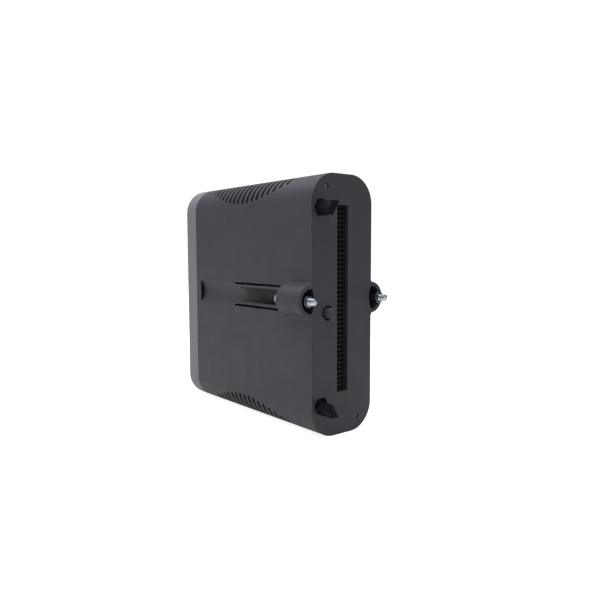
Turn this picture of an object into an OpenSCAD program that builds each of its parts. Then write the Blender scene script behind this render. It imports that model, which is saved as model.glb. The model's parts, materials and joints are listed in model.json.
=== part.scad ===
// Plug-in electronics module: a slab-shaped moulded case that slides onto a
// backplane. +X is the way it plugs in, +Z is up, Y runs through its thickness.
// The origin is on the mating face, midway between the two captive screws.

/* [Case] */
// Height of the case
body_h = 144; // [136:1:152]
// Thickness of the case between its two large faces
body_t = 44.6; // [43:0.2:48]
// Depth of the dark housing, from the mating face to the seam
housing_d = 122; // [120:0.5:128]
// Depth of the light front cover
cover_d = 14.5; // [12:0.1:18]
// Radius of the four long edges
corner_r = 15.8; // [13:0.2:18]
// Wall thickness of the housing
wall = 2.4; // [2:0.1:3]
// Thickness of the end wall that carries the connector
end_wall = 3.6; // [3.2:0.1:4]
// Height of the connector's centre above the bottom edge
mate_z = 75.6; // [72:0.2:78]
// Radius of the cover's outer edge
cover_edge_r = 3; // [2:0.5:6]

/* [Connector] */
// Contact pitch
pitch = 2.54; // [2.5:0.02:2.54]
// Contacts in each row
ways = 40; // [30:1:40]
// How far the socket block lies below the end face
recess = 2; // [1.8:0.1:3.2]
// Width of the slot round the connector
slot_w = 7.8; // [7:0.1:8.4]
// Length of the slot round the connector
slot_l = 103; // [102.4:0.2:104]

/* [Captive screws] */
// Distance between the two captive screws
screw_span = 50; // [49.6:0.1:50.6]
// Outside radius of the half-round boss
boss_r = 9; // [8.6:0.1:9.4]
// Inside radius of the half-round boss
boss_bore_r = 6.7; // [6.4:0.05:7]
// Length of the boss
boss_l = 20.5; // [20:0.5:23]
// Thread radius
thread_r = 2; // [1.95:0.05:2.1]
// Shank radius
shank_r = 1.8; // [1.7:0.02:1.82]
// Outside radius of the retaining ring
ring_r = 3.2; // [3:0.05:3.4]
// How far the left screw is backed off at rest
left_back_off = 3.2; // [2.8:0.1:3.4]

/* [Side channels] */
// Depth of the tool channel in each large face
channel_depth = 2.6; // [2:0.1:2.8]
// Radius of the tool channel
channel_r = 11.5; // [11:0.1:12]
// Length of the tool channel
channel_l = 117; // [110:0.5:118]

/* [Vents] */
// Number of vent slots in the top, and again in the bottom
vent_n = 17; // [9:2:19]
// Distance from one slot to the next
vent_pitch = 4.85; // [4.2:0.05:5]
// Width of one slot
vent_w = 2.4; // [1.6:0.1:2.6]

/* [Coding keys] */
// Corner radius of the six-sided key
key_r = 4.3; // [4:0.05:4.35]
// How far a key stands out of the end face
key_out = 11; // [8:0.5:12]

/* [Plunger] */
// Plunger radius
plunger_r = 3.05; // [2.8:0.05:3.2]
// How far the plunger stands out at rest
plunger_out = 4; // [3.8:0.1:5.6]

/* [Hidden] */

$fn = 64;
e = 0.01;
hy = body_t / 2;                 // large faces lie at y = -hy and y = hy
z0 = -mate_z;                    // bottom edge
z1 = body_h - mate_z;            // top edge
zm = (z0 + z1) / 2;
seam = 0.5;                      // seal thickness at the seam
total_d = housing_d + seam + cover_d;
stud_y = screw_span / 2;
chan_y = hy - channel_depth + channel_r;  // channel axis, outside the face
mouth_depth = 1.6;
mouth_r = (pow(boss_bore_r - 0.2, 2) + pow(mouth_depth, 2)) / (2 * mouth_depth);
shoulder_x = -14;                // front of the wall that the screws pass
shoulder_t = 4;
vent_x = -66;                    // middle of the vent field
key_y = -15.5;
key_z = [49.6, -57.2];
hole_key_r = key_r + 0.4;
key_drop = 0.7;                  // how much lower the post of a key sits than its base
pl_y = -10.8;
pl_z = -7;
pl_hole_r = 3.9;
fs_pos = [[-11.8, 60.7], [11.1, -67.5]];  // end face screws
board_y = 2.6;                   // main board, side towards the daughter board
board_t = 1.6;
dau_y = -9.6;                    // daughter board, far side
spacer_pos = [[-38, -60], [-38, 55], [-110, -60], [-110, 55]];
led_z = [33, 39, 45];
led_y = 1.6;

// rounded rectangle in the Y-Z plane, pushed out along +X from x = a to x = b
module slab(a, b, inset = 0) {
    r = max(corner_r - inset, 0.6);
    translate([a, 0, zm]) rotate([90, 0, 90]) linear_extrude(b - a)
        round_rect(body_t - 2 * inset, body_h - 2 * inset, r);
}

module round_rect(w, h, r) {
    square([w, h - 2 * r], center = true);
    square([w - 2 * r, h], center = true);
    for (sx = [-1, 1], sy = [-1, 1])
        translate([sx * (w / 2 - r), sy * (h / 2 - r)]) circle(r);
}

// rod along X
module rod_x(a, b, r) { translate([a, 0, 0]) rotate([0, 90, 0]) cylinder(h = b - a, r = r); }
module cone_x(a, b, ra, rb) { translate([a, 0, 0]) rotate([0, 90, 0]) cylinder(h = b - a, r1 = ra, r2 = rb); }
module hex_x(a, b, r) { translate([a, 0, 0]) rotate([0, 90, 0]) rotate([0, 0, 30]) cylinder(h = b - a, r = r, $fn = 6); }
// rod along Y
module rod_y(a, b, r) { translate([0, a, 0]) rotate([-90, 0, 0]) cylinder(h = b - a, r = r); }
module box(lo, hi) { translate(lo) cube(hi - lo); }

// ---------------------------------------------------------------- housing
function vent_s(i) = 2.5 + pow(vent_pitch * i, 2) / 154;
function vent_end(i) = z1 - corner_r + corner_r * sin(vent_s(i) / corner_r * 180 / PI);

module vents() {
    m = (vent_n - 1) / 2;
    for (i = [-m : m]) translate([vent_x + i * vent_pitch - vent_w / 2, -hy - 1, 0]) {
        translate([0, 0, vent_end(i)]) cube([vent_w, body_t + 2, 40]);
        translate([0, 0, 2 * zm - vent_end(i) - 40]) cube([vent_w, body_t + 2, 40]);
    }
}

// half-round boss on a large face; s is the side, -1 or 1
module boss(s) {
    difference() {
        translate([0, s * hy, 0]) rod_x(-boss_l, 0, boss_r);
        // only the part outside the wall is kept
        box([-boss_l - 1, s > 0 ? 0 : -hy + wall, -20], [1, s > 0 ? hy - wall : 0, 20]);
    }
}

module boss_hollow(s, a, b) {
    intersection() {
        translate([0, s * hy, 0]) rod_x(a, b, boss_bore_r);
        box([a, s > 0 ? hy : -hy - 20, -10], [b, s > 0 ? hy + 20 : -hy, 10]);
    }
}

// the shallow floor of a boss's mouth
module mouth(s, a, b) {
    intersection() {
        translate([0, s * (hy - mouth_depth + mouth_r), 0]) rod_x(a, b, mouth_r);
        box([a, s > 0 ? 0 : -hy - e, -10], [b, s > 0 ? hy + e : 0, 10]);
    }
}

// the part of the channel that is sunk in the face
module channel(s, a, b, skin = 0) {
    intersection() {
        translate([0, s * chan_y, 0]) rod_x(a, b, channel_r);
        box([a, s > 0 ? 0 : -hy + skin - e, -10], [b, s > 0 ? hy - skin + e : 0, 10]);
    }
}

module channel_backing(s) {
    intersection() {
        translate([0, s * chan_y, 0]) rod_x(-housing_d, -end_wall, channel_r + 2);
        box([-housing_d, s > 0 ? 0 : -hy + 1, -12], [0, s > 0 ? hy - 1 : 0, 12]);
    }
}

// depth of the pocket below the large face: it runs down smoothly from the channel's floor
function pocket_depth(u) = channel_depth - 0.3 + (8.3 - channel_depth) * (3 * u * u - 2 * u * u * u);

module pocket(s) {
    translate([0, 0, -4.5]) linear_extrude(9) polygon(concat(
        [[-30, s * (hy + 1)], [-67, s * (hy + 1)]],
        [for (i = [0 : 10]) [-67 + 2.2 * i, s * (hy - pocket_depth(i / 10))]],
        [[-30, s * (hy - 8)]]));
}

module housing() color([0.30, 0.30, 0.32]) {
    difference() {
        union() {
            difference() {
                slab(-housing_d, 0);
                slab(-housing_d - 1, -end_wall, wall);
                vents();
            }
            for (s = [-1, 1]) {
                boss(s);
                channel_backing(s);
                box([-70, s > 0 ? hy - 9.2 : -hy + 1, -5.7], [-28.6, s > 0 ? hy - 1 : -hy + 9.2, 5.7]);
            }
            // rails that hold the main board's long edges
            for (y = [board_y - 1.4, board_y + board_t + 0.2]) {
                box([-housing_d + 6, y, z1 - wall - 5], [-end_wall, y + 1.2, z1 - wall + 0.5]);
                box([-housing_d + 6, y, z0 + wall - 0.5], [-end_wall, y + 1.2, z0 + wall + 5]);
            }
            // sleeves behind the coding keys
            for (z = key_z) translate([0, key_y, z]) rod_x(-12, -end_wall, 6);
        }
        // slot round the connector
        box([-end_wall - 1, -slot_w / 2 - 0.2, -slot_l / 2], [1, slot_w / 2 - 0.2, slot_l / 2]);
        for (z = key_z) translate([0, key_y, z]) hex_x(-10.6, 1, hole_key_r);
        translate([0, pl_y, pl_z]) rod_x(-end_wall - 1, 1, pl_hole_r);
        for (p = fs_pos) translate([0, p[0], p[1]]) {
            rod_x(-2, 1, 1.45);
            rod_x(-end_wall - 1, 0, 1.1);
        }
        for (s = [-1, 1]) {
            // channel along the face, and the undercut at its far end
            channel(s, -channel_l, -boss_l + 1);
            translate([0, s * chan_y, 0]) rod_x(-channel_l, -boss_l, channel_r);
            channel(s, -channel_l - 4.2, -channel_l + e, 0.7);
            boss_hollow(s, shoulder_x, 1);
            mouth(s, shoulder_x, 1);
            boss_hollow(s, -boss_l - 10, shoulder_x - shoulder_t);
            channel(s, -boss_l - 10, shoulder_x - shoulder_t);
            translate([0, s * stud_y, 0]) rod_x(shoulder_x - shoulder_t - 1, shoulder_x + 1, 2.8);
            pocket(s);
            for (sz = [-1, 1])
                box([-75.5, s > 0 ? hy - 5 : -hy - 1, sz * 6.75 - 0.65], [-24, s > 0 ? hy + 1 : -hy + 5, sz * 6.75 + 0.65]);
        }
    }
}

// ---------------------------------------------------------------- front cover
// the outline of the case's cross-section, with a rounded rim at x = -total_d
module rim_profile(w, d, r) {
    translate([r, -w / 2]) square([d - r, w]);
    translate([0, -w / 2 + r]) square([d, w - 2 * r]);
    for (s = [-1, 1]) translate([r, s * (w / 2 - r)]) circle(r);
}

module cover_block(r) {
    d = cover_d;
    c = corner_r;
    translate([-total_d, 0, z0 + c]) linear_extrude(body_h - 2 * c) rim_profile(body_t, d, r);
    translate([-total_d, hy - c, zm]) rotate([90, 0, 0]) linear_extrude(body_t - 2 * c) rim_profile(body_h, d, r);
    for (sy = [-1, 1], z = [z0 + c, z1 - c]) translate([-total_d, sy * (hy - c), z])
        rotate([0, 90, 0]) rotate_extrude() {
            square([c - r, d]);
            translate([0, r]) square([c, d - r]);
            intersection() { translate([c - r, r]) circle(r); square([c, d]); }
        }
}

module front_cover() color([0.48, 0.47, 0.49]) {
    difference() {
        union() {
            cover_block(cover_edge_r);
            // lip that enters the housing
            difference() {
                slab(-housing_d - seam - 1, -housing_d + 4, wall + 0.2);
                box([-housing_d - seam, -30, -14], [-housing_d + 6, 30, 14]);
            }
        }
        slab(-total_d + 2.3, -housing_d - seam + 6, wall + 1.7);
        // shallow panel in the far face
        box([-total_d - 1, -13, -40], [-total_d + 0.4, 13, 22]);
        for (z = led_z) translate([0, led_y, z]) rod_x(-total_d - 1, -total_d + 5, 1.58);
    }
}

module cover_seal() color([0.06, 0.06, 0.06]) {
    difference() {
        slab(-housing_d - seam, -housing_d, 0.5);
        slab(-housing_d - seam - 1, -housing_d + 1, wall);
    }
}

module indicator_lenses() color([0.55, 0.72, 0.55]) {
    for (z = led_z) translate([0, led_y, z]) {
        rod_x(-total_d, -total_d + 4, 1.5);
        rod_x(-total_d + 4, -117.4, 1.3);
    }
}

// ---------------------------------------------------------------- connector
body_front = -recess;
body_back = -12.2;

function way_z(i) = (i - (ways - 1) / 2) * pitch;

module connector_body() color([0.07, 0.07, 0.07]) {
    l = ways * pitch;
    difference() {
        union() {
            box([body_back, -pitch, -l / 2], [body_front, pitch, l / 2]);
            box([-5.8, -5.3, -l / 2 - 1.9], [-3.8, 5.3, l / 2 + 1.9]);
        }
        // room for the plunger's guide
        box([-6, -5.6, pl_z - 6.6], [-3.6, -pitch - 0.1, pl_z + 6.6]);
        for (i = [0 : ways - 1], y = [-pitch / 2, pitch / 2]) {
            box([body_back - 1, y - 0.5, way_z(i) - 0.5], [body_front + 1, y + 0.5, way_z(i) + 0.5]);
            box([body_front - 0.5, y - 0.85, way_z(i) - 0.85], [body_front + 1, y + 0.85, way_z(i) + 0.85]);
        }
    }
}

// one bent contact: row 0 is nearer the board, row 1 further from it
module contact(row) {
    y = row == 0 ? pitch / 2 : -pitch / 2;
    back = row == 0 ? body_back - 1.3 : body_back - 3.4;
    t = 0.3;
    translate([0, 0, -0.25]) linear_extrude(0.5) polygon([
        [-5.6, y - 0.42], [-5.6, y - 0.22], [-6.8, y + 0.05], [-7.6, y + t / 2],
        [back + t, y + t / 2], [back + t, board_y - t], [back + t, board_y],
        [back - 1.2, board_y], [back - 1.2, board_y - t], [back, board_y - t],
        [back, y - t / 2], [-7.6, y - t / 2], [-6.8, y - 0.2]]);
}

module connector_contacts() color([0.75, 0.60, 0.30]) {
    for (i = [0 : ways - 1], row = [0, 1]) translate([0, 0, way_z(i)]) contact(row);
}

// ---------------------------------------------------------------- boards
module main_board() color([0.08, 0.30, 0.16]) {
    difference() {
        box([-116, board_y, z0 + wall + 0.6], [-6.2, board_y + board_t, z1 - wall - 0.6]);
        for (p = spacer_pos) translate([p[0], 0, p[1]]) rod_y(0, 10, 1.4);
    }
}

module daughter_board() color([0.08, 0.30, 0.16]) {
    difference() {
        box([-115, dau_y, -66], [-42 + 8, dau_y + board_t, 60]);
        for (p = spacer_pos) translate([p[0], 0, p[1]]) rod_y(-20, 0, 1.4);
        // notch that clears the plunger switch
        box([-41, dau_y - 1, -16], [-30, dau_y + 3, 0]);
    }
}

module board_link_header() color([0.10, 0.10, 0.11]) {
    box([-106, dau_y + board_t, -2], [-101, -2.6, 40]);
    box([-105.6, -2.6, -1.6], [-101.4, board_y, 39.6]);
}

module board_spacers() color([0.72, 0.72, 0.70]) {
    for (p = spacer_pos) translate([p[0], 0, p[1]]) difference() {
        rod_y(dau_y + board_t, board_y, 2.5);
        rod_y(-20, 10, 1.3);
    }
}

module board_screws() color([0.75, 0.76, 0.78]) {
    for (p = spacer_pos) translate([p[0], 0, p[1]]) {
        difference() {
            union() { rod_y(dau_y - 1.5, dau_y, 2.3); rod_y(dau_y - 0.1, dau_y + 5, 1.2); }
            box([-1.6, dau_y - 2, -0.3], [1.6, dau_y - 0.8, 0.3]);
        }
        difference() {
            union() { rod_y(board_y + board_t, board_y + board_t + 1.5, 2.3); rod_y(board_y - 4, board_y + board_t + 0.1, 1.2); }
            box([-1.6, board_y + board_t + 0.8, -0.3], [1.6, board_y + board_t + 2, 0.3]);
        }
    }
}

module end_blocks() color([0.70, 0.70, 0.68]) {
    difference() {
        union() {
            box([-12, -13.6, 57], [-end_wall, 0.8, 62.9]);
            box([-12, 0, 57], [-end_wall, board_y, 60.8]);
        }
        translate([0, fs_pos[0][0], fs_pos[0][1]]) rod_x(-20, 0, 1.0);
    }
    difference() {
        union() {
            box([-12, 5.9, -70.6], [-end_wall, 13.4, -64]);
            box([-12, board_y + board_t, -67.8], [-end_wall, 6.5, -64]);
        }
        translate([0, fs_pos[1][0], fs_pos[1][1]]) rod_x(-20, 0, 1.0);
    }
}

module end_face_screws() color([0.78, 0.78, 0.80]) {
    for (p = fs_pos) translate([0, p[0], p[1]]) difference() {
        union() {
            rod_x(-2, -0.9, 1.3);
            rod_x(-10.5, -1.9, 0.96);
        }
        hex_x(-1.6, 0, 0.7);
    }
}

module can(x0, x1, za, zb) {
    difference() {
        box([x0, -2.6, za], [x1, board_y, zb]);
        box([x0 + 0.4, -2.2, za + 0.4], [x1 - 0.4, board_y + 1, zb - 0.4]);
    }
}

module shield_can_upper() color([0.75, 0.76, 0.77]) can(-94, -52, 6, 48);
module shield_can_lower() color([0.75, 0.76, 0.77]) can(-94, -52, -52, -10);

module signal_chips() color([0.09, 0.09, 0.10]) {
    for (c = [[-84, 36], [-62, 20], [-84, -40], [-62, -22]])
        box([c[0] - 6, board_y - 1.4, c[1] - 6], [c[0] + 6, board_y, c[1] + 6]);
    for (c = [[-96, -36], [-70, -30], [-70, 14], [-52, 40]])
        box([c[0] - 7, dau_y - 1.5, c[1] - 7], [c[0] + 7, dau_y, c[1] + 7]);
}

module power_amplifiers() color([0.12, 0.12, 0.13]) {
    for (x = [-80, -56]) box([x - 6, board_y + board_t, 32], [x + 6, board_y + board_t + 1.6, 42]);
}

module heat_sink() color([0.72, 0.73, 0.74]) {
    y = board_y + board_t + 1.6;
    box([-92, y, 14], [-44, y + 1.8, 60]);
    for (i = [0 : 11]) box([-92 + i * 4.22, y + 1.8 - e, 14], [-92 + i * 4.22 + 1.4, y + 6.4, 60]);
}

module power_converter() color([0.16, 0.16, 0.18]) {
    box([-84, board_y + board_t, -58], [-46, board_y + board_t + 8, -30]);
}

module power_inductors() color([0.22, 0.21, 0.20]) {
    for (z = [-22, -36]) translate([-97, 0, z]) {
        rod_y(board_y + board_t, board_y + board_t + 1.2, 5.6);
        rod_y(board_y + board_t + 1.2, board_y + board_t + 5.6, 4.2);
        rod_y(board_y + board_t + 5.6, board_y + board_t + 6.8, 5.6);
    }
}

module filter_capacitors() color([0.20, 0.26, 0.42]) {
    for (z = [-6, 5]) for (x = [-108, -97]) translate([x, 0, z])
        rod_y(board_y + board_t, board_y + board_t + 7.6, 4);
}

module indicator_leds() color([0.80, 0.85, 0.70]) {
    for (z = led_z) box([-117, 0.2, z - 1], [-114.4, board_y, z + 1]);
}

// ---------------------------------------------------------------- plunger
module plunger() color([0.33, 0.33, 0.35]) translate([0, pl_y, pl_z]) {
    rod_x(-end_wall - 0.3, plunger_out - 1.1, plunger_r);
    cone_x(plunger_out - 1.1, plunger_out, plunger_r, plunger_r - 0.9);
    rod_x(-5.6, -end_wall - 0.25, 4.6);
    rod_x(-26, -5.5, 1.5);
}

module plunger_guide() color([0.12, 0.12, 0.13]) translate([0, pl_y, pl_z]) {
    difference() {
        union() {
            rod_x(-24, -end_wall - 0.2, 5.8);
            box([-24, 4, -4], [-18.5, board_y - pl_y, 4]);
        }
        rod_x(-22, 0, 4.8);
        rod_x(-30, -20, 1.56);
    }
}

module plunger_spring() color([0.70, 0.71, 0.73]) translate([-21.8, pl_y, pl_z])
    rotate([0, 90, 0]) linear_extrude(height = 16, twist = -360 * 7, slices = 140, $fn = 8)
        translate([3.5, 0]) circle(r = 0.45, $fn = 8);

module plunger_switch() color([0.10, 0.10, 0.11]) translate([0, pl_y, pl_z]) {
    box([-39, -2, -3.6], [-32.4, 3, 3.6]);
    box([-38, 3, -3.6], [-33.5, board_y - pl_y, 3.6]);
    rod_x(-32.5, -31.4, 1.2);
}

// ---------------------------------------------------------------- keys
// ang is the direction, in the Y-Z plane, that the flat of the half-hexagon faces
module half_hex(a, b, r, ang) {
    difference() {
        hex_x(a, b, r);
        rotate([ang, 0, 0]) box([a - 1, 0.5, -12], [b + 1, 12, 12]);
    }
}

// the base fits the hole; the post in front of it sits a little lower
module coding_key(z, ang) translate([0, key_y, z]) {
    hex_x(-10.2, -2.4, key_r);
    half_hex(-2.5, 0.4, key_r, ang);
    translate([0, 0, -key_drop]) half_hex(0.3, key_out, key_r + 0.1, ang);
}

module upper_coding_key() color([0.09, 0.09, 0.11]) coding_key(key_z[0], -30);
module lower_coding_key() color([0.09, 0.09, 0.11]) coding_key(key_z[1], 30);

// ---------------------------------------------------------------- captive screws
head_l = 3.6;
head_r = 3.2;
washer_t = 1;
seat_x = shoulder_x - shoulder_t;       // washer seats here when tight
ring_x = 4.1;                           // front of the retaining ring when tight
ring_t = 0.9;

module captive_screw(s, back) translate([-back, s * stud_y, 0]) {
    difference() {
        union() {
            rod_x(seat_x - washer_t - head_l + 0.4, seat_x - washer_t, head_r);
            cone_x(seat_x - washer_t - head_l, seat_x - washer_t - head_l + 0.4, head_r - 0.4, head_r);
            rod_x(seat_x - washer_t - 0.1, ring_x - ring_t, shank_r);
            rod_x(ring_x - ring_t - 0.1, ring_x + 0.1, 1.6);
            rod_x(ring_x, ring_x + 4.1, thread_r);
            cone_x(ring_x + 4.1, ring_x + 4.65, thread_r, thread_r - 0.45);
            cone_x(ring_x + 4.65, ring_x + 4.9, thread_r - 0.45, thread_r - 1.1);
        }
        hex_x(seat_x - washer_t - head_l - 1, seat_x - washer_t - head_l + 2.4, 1.75);
    }
}

module left_captive_screw() color([0.80, 0.81, 0.83]) captive_screw(-1, left_back_off);
module right_captive_screw() color([0.80, 0.81, 0.83]) captive_screw(1, 0);

module screw_ring(s, back) translate([-back, s * stud_y, 0]) difference() {
    rod_x(ring_x - ring_t + 0.02, ring_x - 0.02, ring_r);
    rod_x(ring_x - ring_t - 1, ring_x + 1, 1.63);
    // the gap that lets it snap on
    box([ring_x - ring_t - 1, -0.5, 1], [ring_x + 1, 0.5, 5]);
}

module left_screw_ring() color([0.25, 0.25, 0.27]) screw_ring(-1, left_back_off);
module right_screw_ring() color([0.25, 0.25, 0.27]) screw_ring(1, 0);

module screw_washer(s, back) translate([-back, s * stud_y, 0]) difference() {
    rod_x(seat_x - washer_t + 0.02, seat_x - 0.02, 3.9);
    rod_x(seat_x - washer_t - 1, seat_x + 1, shank_r + 0.08);
}

module left_screw_washer() color([0.70, 0.71, 0.73]) screw_washer(-1, left_back_off);
module right_screw_washer() color([0.70, 0.71, 0.73]) screw_washer(1, 0);

housing();
front_cover();
cover_seal();
indicator_lenses();
connector_body();
connector_contacts();
main_board();
daughter_board();
board_link_header();
board_spacers();
board_screws();
end_blocks();
end_face_screws();
shield_can_upper();
shield_can_lower();
signal_chips();
power_amplifiers();
heat_sink();
power_converter();
power_inductors();
filter_capacitors();
indicator_leds();
plunger();
plunger_spring();
plunger_guide();
plunger_switch();
upper_coding_key();
lower_coding_key();
left_captive_screw();
right_captive_screw();
left_screw_ring();
right_screw_ring();
left_screw_washer();
right_screw_washer();
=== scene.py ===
import json
import math
import bpy
import bmesh
from mathutils import Vector, Matrix


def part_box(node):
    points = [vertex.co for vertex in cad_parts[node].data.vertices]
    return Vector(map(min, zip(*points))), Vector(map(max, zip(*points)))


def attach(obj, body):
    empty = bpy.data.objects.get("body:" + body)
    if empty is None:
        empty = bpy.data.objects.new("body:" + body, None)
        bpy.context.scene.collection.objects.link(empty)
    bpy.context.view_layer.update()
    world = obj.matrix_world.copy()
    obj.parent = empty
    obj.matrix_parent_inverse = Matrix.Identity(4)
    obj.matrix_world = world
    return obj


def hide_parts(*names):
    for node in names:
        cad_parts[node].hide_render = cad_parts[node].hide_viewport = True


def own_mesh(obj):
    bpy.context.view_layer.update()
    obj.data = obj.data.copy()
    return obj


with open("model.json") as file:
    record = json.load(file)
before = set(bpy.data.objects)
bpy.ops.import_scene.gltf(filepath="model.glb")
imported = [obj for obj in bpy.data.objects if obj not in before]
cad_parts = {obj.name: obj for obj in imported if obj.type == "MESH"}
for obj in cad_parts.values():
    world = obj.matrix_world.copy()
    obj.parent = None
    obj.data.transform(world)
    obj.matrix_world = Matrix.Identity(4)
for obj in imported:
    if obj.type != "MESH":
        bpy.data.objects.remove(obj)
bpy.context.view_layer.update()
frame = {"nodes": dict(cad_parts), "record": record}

scene = bpy.context.scene
MM = 0.001
PI = math.pi

# ------------------------------------------------------------------ sizes, mm
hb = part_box("housing")
Z0, Z1 = hb[0].z * 1000, hb[1].z * 1000          # bottom and top edge
ZM = (Z0 + Z1) / 2
H = Z1 - Z0
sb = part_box("cover_seal")
SEAM_F, SEAM_B = sb[1].x * 1000, sb[0].x * 1000  # -122, -122.5
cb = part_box("front_cover")
BACK = cb[0].x * 1000                            # -135.2
HY = cb[1].y * 1000                              # 22.3
CR = 15.8
WALL, END = 2.4, 3.6
STUD_Y = 25.0
BOSS_R, BORE_R, BOSS_L = 9.0, 6.7, 20.5
CH_D, CH_R, CH_L = 2.6, 11.5, 117.0
MOUTH_D = 1.6
MOUTH_R = ((BORE_R - 0.2) ** 2 + MOUTH_D ** 2) / (2 * MOUTH_D)
CH_Y = HY - CH_D + CH_R
KEY_Y, KEY_Z = -15.5, (49.6, -57.2)
PL_Y, PL_Z = -10.8, -7.0
FS = ((-11.8, 60.7), (11.1, -67.5))
LED_Z, LED_Y = (33, 39, 45), 1.6


# ------------------------------------------------------------------ mesh tools
def make(name, verts, faces, smooth=None):
    me = bpy.data.meshes.new(name)
    me.from_pydata([(v[0] * MM, v[1] * MM, v[2] * MM) for v in verts], [], faces)
    ob = bpy.data.objects.new(name, me)
    scene.collection.objects.link(ob)
    fix_normals(me)
    if smooth is not None:
        shade(ob, smooth)
    return ob


def fix_normals(me, weld=1e-7):
    bm = bmesh.new()
    bm.from_mesh(me)
    if weld:
        bmesh.ops.remove_doubles(bm, verts=bm.verts, dist=weld)
    bmesh.ops.recalc_face_normals(bm, faces=bm.faces)
    bm.to_mesh(me)
    bm.free()


def shade(ob, angle=35.0, weighted=False):
    me = ob.data
    me.polygons.foreach_set("use_smooth", [True] * len(me.polygons))
    me.set_sharp_from_angle(angle=math.radians(angle))
    if weighted:
        m = ob.modifiers.new("wn", "WEIGHTED_NORMAL")
        m.mode = "FACE_AREA"
        m.weight = 100
        m.keep_sharp = True
        apply_all(ob)


def apply_all(ob):
    dg = bpy.context.evaluated_depsgraph_get()
    me = bpy.data.meshes.new_from_object(ob.evaluated_get(dg), preserve_all_data_layers=True, depsgraph=dg)
    old = ob.data
    ob.modifiers.clear()
    ob.data = me
    me.name = ob.name
    bpy.data.meshes.remove(old)


def loft(rings, caps=True, loop=False):
    n = len(rings[0])
    v = [p for r in rings for p in r]
    f = []
    m = len(rings)
    for k in range(m if loop else m - 1):
        for i in range(n):
            j = (i + 1) % n
            a, b = k * n, ((k + 1) % m) * n
            f.append((a + i, a + j, b + j, b + i))
    if caps and not loop:
        f.append(tuple(range(n))[::-1])
        f.append(tuple((m - 1) * n + i for i in range(n)))
    return v, f


def prism(name, rings):
    return make(name, *loft(rings))


def boolean(ob, tools, op="DIFFERENCE"):
    for t in tools:
        m = ob.modifiers.new("b", "BOOLEAN")
        m.object = t
        m.operation = op
        m.solver = "MANIFOLD"
    apply_all(ob)
    for t in tools:
        me = t.data
        bpy.data.objects.remove(t)
        bpy.data.meshes.remove(me)


def open_edges(ob):
    bm = bmesh.new()
    bm.from_mesh(ob.data)
    n = sum(1 for e in bm.edges if len(e.link_faces) != 2)
    bm.free()
    return n


def join(name, objs):
    """Several meshes as one."""
    v, f = [], []
    for o in objs:
        n = len(v)
        v += [tuple(c / MM for c in x.co) for x in o.data.vertices]
        f += [tuple(i + n for i in p.vertices) for p in o.data.polygons]
        me = o.data
        bpy.data.objects.remove(o)
        bpy.data.meshes.remove(me)
    return make(name, v, f)


def rr(w, h, r, zc=0.0, seg=32):
    """Rounded rectangle in (y, z): w and h are half sizes."""
    r = max(r, 0.02)
    pts = []
    for cy, cz, a0 in ((w - r, h - r, 0), (-w + r, h - r, 90), (-w + r, -h + r, 180), (w - r, -h + r, 270)):
        for i in range(seg + 1):
            a = math.radians(a0 + 90 * i / seg)
            pts.append((cy + r * math.cos(a), zc + cz + r * math.sin(a)))
    return pts


def outline(x, inset, seg=32):
    return [(x, y, z) for y, z in rr(HY - inset, H / 2 - inset, CR - inset, ZM, seg)]


def slab(name, stations, seg=32):
    """stations: (x, inset)"""
    return prism(name, [outline(x, d, seg) for x, d in stations])


def box(name, lo, hi, r=0.0, axis="x", seg=4):
    """Box with the four edges along axis rounded."""
    c = [(lo[i] + hi[i]) / 2 for i in range(3)]
    h = [(hi[i] - lo[i]) / 2 for i in range(3)]
    if r <= 0:
        v = [(x, y, z) for x in (lo[0], hi[0]) for y in (lo[1], hi[1]) for z in (lo[2], hi[2])]
        f = [(0, 1, 3, 2), (4, 6, 7, 5), (0, 4, 5, 1), (2, 3, 7, 6), (0, 2, 6, 4), (1, 5, 7, 3)]
        return make(name, v, f)
    k = "xyz".index(axis)
    a, b = [(1, 2), (0, 2), (0, 1)][k]
    rings = []
    for t in (lo[k], hi[k]):
        ring = []
        for p, q in rr(h[a], h[b], r, 0, seg):
            co = [0, 0, 0]
            co[k], co[a], co[b] = t, c[a] + p, c[b] + q
            ring.append(tuple(co))
        rings.append(ring)
    return prism(name, rings)


def rbox(name, lo, hi, r, seg=2, smooth=35):
    """Box with every edge rounded by r."""
    o = box(name, lo, hi)
    bevel(o, r, seg)
    if smooth:
        shade(o, smooth, True)
    return o


def bevel(ob, r, seg=2, angle=20.0):
    bm = bmesh.new()
    bm.from_mesh(ob.data)
    es = [e for e in bm.edges if len(e.link_faces) == 2 and e.calc_face_angle() > math.radians(angle)]
    bmesh.ops.bevel(bm, geom=es, offset=r * MM, segments=seg, profile=0.5, affect="EDGES", clamp_overlap=True)
    bm.to_mesh(ob.data)
    bm.free()


def lathe_rings(profile, y=0.0, z=0.0, n=48):
    """profile: (x, r) along +X, about the axis through (y, z)."""
    return [[(x, y + r * math.cos(2 * PI * i / n), z + r * math.sin(2 * PI * i / n)) for i in range(n)] for x, r in profile]


def lathe(name, profile, y=0.0, z=0.0, n=48, smooth=None):
    prof = [(x, max(r, 0.0)) for x, r in profile]
    v, f = [], []
    idx = []
    for x, r in prof:
        if r < 1e-6:
            idx.append([len(v)] * n)
            v.append((x, y, z))
        else:
            idx.append(list(range(len(v), len(v) + n)))
            v += [(x, y + r * math.cos(2 * PI * i / n), z + r * math.sin(2 * PI * i / n)) for i in range(n)]
    for a, b in zip(idx, idx[1:]):
        for i in range(n):
            j = (i + 1) % n
            q = []
            for t in (a[i], a[j], b[j], b[i]):
                if t not in q:
                    q.append(t)
            if len(q) >= 3:
                f.append(tuple(q))
    for end, ring in ((0, idx[0]), (1, idx[-1])):
        if len(set(ring)) > 1:
            f.append(tuple(ring))
    return make(name, v, f, smooth)


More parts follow.
